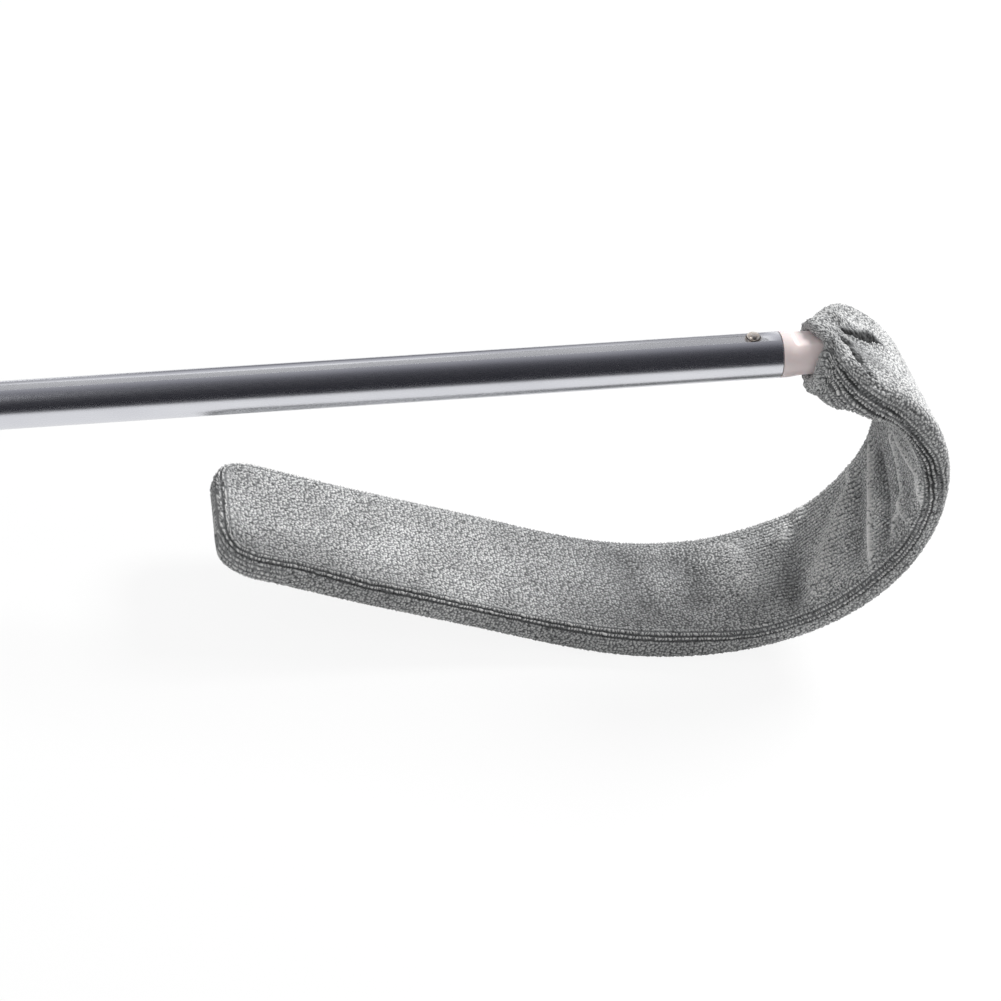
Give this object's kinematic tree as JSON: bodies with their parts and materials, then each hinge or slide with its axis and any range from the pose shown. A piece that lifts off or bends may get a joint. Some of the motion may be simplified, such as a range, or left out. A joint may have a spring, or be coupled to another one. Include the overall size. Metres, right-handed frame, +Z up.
{
  "type": "long-handled duster",
  "caption": "Long-handled duster: an aluminium pole in sections with a flexible flat blade in a gathered terry sleeve, bent round in a J.",
  "frame": {"origin": "middle of the bounding box on the floor that the duster lies on", "axes": "+X along the pole towards the head, +Y across the flat head, +Z up"},
  "size_m": [1.0178, 0.08, 0.1726],
  "materials": {
    "anodised_aluminium": "satin",
    "white_plastic": "satin",
    "grey_plastic": "satin",
    "blade_plastic": "matte",
    "spring_steel": "polished",
    "terry_cloth": "matte",
    "elastic_web": "matte"
  },
  "bodies": {
    "handle": {"hang_cap": "grey_plastic", "lower_tube": "anodised_aluminium", "joint_plug": "white_plastic", "joint_button_spring": "spring_steel", "upper_tube": "anodised_aluminium", "head_ferrule": "white_plastic", "head_button_spring": "spring_steel", "blade_root": "blade_plastic", "sleeve_cuff": "terry_cloth", "cuff_elastic": "elastic_web"},
    "joint_button": {"joint_button": "spring_steel"},
    "head_button": {"head_button": "spring_steel"},
    "head_link_1": {"blade_section_1": "blade_plastic", "sleeve_section_1": "terry_cloth"},
    "head_link_2": {"blade_section_2": "blade_plastic", "sleeve_section_2": "terry_cloth"},
    "head_link_3": {"blade_section_3": "blade_plastic", "sleeve_section_3": "terry_cloth"},
    "head_link_4": {"blade_section_4": "blade_plastic", "sleeve_section_4": "terry_cloth"},
    "head_link_5": {"blade_section_5": "blade_plastic", "sleeve_section_5": "terry_cloth"},
    "head_link_6": {"blade_section_6": "blade_plastic", "sleeve_section_6": "terry_cloth"},
    "head_link_7": {"blade_section_7": "blade_plastic", "sleeve_section_7": "terry_cloth"},
    "head_link_8": {"blade_section_8": "blade_plastic", "sleeve_section_8": "terry_cloth"},
    "head_link_9": {"blade_section_9": "blade_plastic", "sleeve_section_9": "terry_cloth"},
    "head_link_10": {"blade_section_10": "blade_plastic", "sleeve_section_10": "terry_cloth"}
  },
  "joints": [
    {"name": "joint_button_press", "type": "slide", "parent": "handle", "child": "joint_button", "axis": [0.1585, 0, -0.9874], "range_m": [0, 0.003], "stiffness_N_per_m": 2500, "springref_m": -0.001, "deforming": ["joint_button_spring"]},
    {"name": "head_button_press", "type": "slide", "parent": "handle", "child": "head_button", "axis": [0.1585, 0, -0.9874], "range_m": [0, 0.003], "stiffness_N_per_m": 2500, "springref_m": -0.001, "deforming": ["head_button_spring"]},
    {"name": "head_bend_1", "type": "hinge", "parent": "handle", "child": "head_link_1", "pos_m": [0.44498, 0, 0.15993], "axis": [0, -1, 0], "range_deg": [0, 20.08]},
    {"name": "head_bend_2", "type": "hinge", "parent": "head_link_1", "child": "head_link_2", "pos_m": [0.46315, 0, 0.15638], "axis": [0, -1, 0], "range_deg": [0, 20.08]},
    {"name": "head_bend_3", "type": "hinge", "parent": "head_link_2", "child": "head_link_3", "pos_m": [0.47996, 0, 0.14622], "axis": [0, -1, 0], "range_deg": [0, 20.08]},
    {"name": "head_bend_4", "type": "hinge", "parent": "head_link_3", "child": "head_link_4", "pos_m": [0.49311, 0, 0.12984], "axis": [0, -1, 0], "range_deg": [0, 20.08]},
    {"name": "head_bend_5", "type": "hinge", "parent": "head_link_4", "child": "head_link_5", "pos_m": [0.50037, 0, 0.10835], "axis": [0, -1, 0], "range_deg": [0, 20.08]},
    {"name": "head_bend_6", "type": "hinge", "parent": "head_link_5", "child": "head_link_6", "pos_m": [0.49974, 0, 0.08349], "axis": [0, -1, 0], "range_deg": [0, 20.08]},
    {"name": "head_bend_7", "type": "hinge", "parent": "head_link_6", "child": "head_link_7", "pos_m": [0.48951, 0, 0.05762], "axis": [0, -1, 0], "range_deg": [0, 20.08]},
    {"name": "head_bend_8", "type": "hinge", "parent": "head_link_7", "child": "head_link_8", "pos_m": [0.4681, 0, 0.0336], "axis": [0, -1, 0], "range_deg": [0, 20.08]},
    {"name": "head_bend_9", "type": "hinge", "parent": "head_link_8", "child": "head_link_9", "pos_m": [0.43318, 0, 0.01499], "axis": [0, -1, 0], "range_deg": [0, 20.08]},
    {"name": "head_bend_10", "type": "hinge", "parent": "head_link_9", "child": "head_link_10", "pos_m": [0.37618, 0, 0.00748], "axis": [0, -1, 0], "range_deg": [0, 20.08]}
  ],
  "couplings": [
    {"joint": "head_bend_1", "follows": "head_bend_2", "ratio": 1},
    {"joint": "head_bend_3", "follows": "head_bend_2", "ratio": 1},
    {"joint": "head_bend_4", "follows": "head_bend_5", "ratio": 1},
    {"joint": "head_bend_6", "follows": "head_bend_5", "ratio": 1},
    {"joint": "head_bend_7", "follows": "head_bend_5", "ratio": 1},
    {"joint": "head_bend_8", "follows": "head_bend_9", "ratio": 1},
    {"joint": "head_bend_10", "follows": "head_bend_9", "ratio": 1}
  ]
}
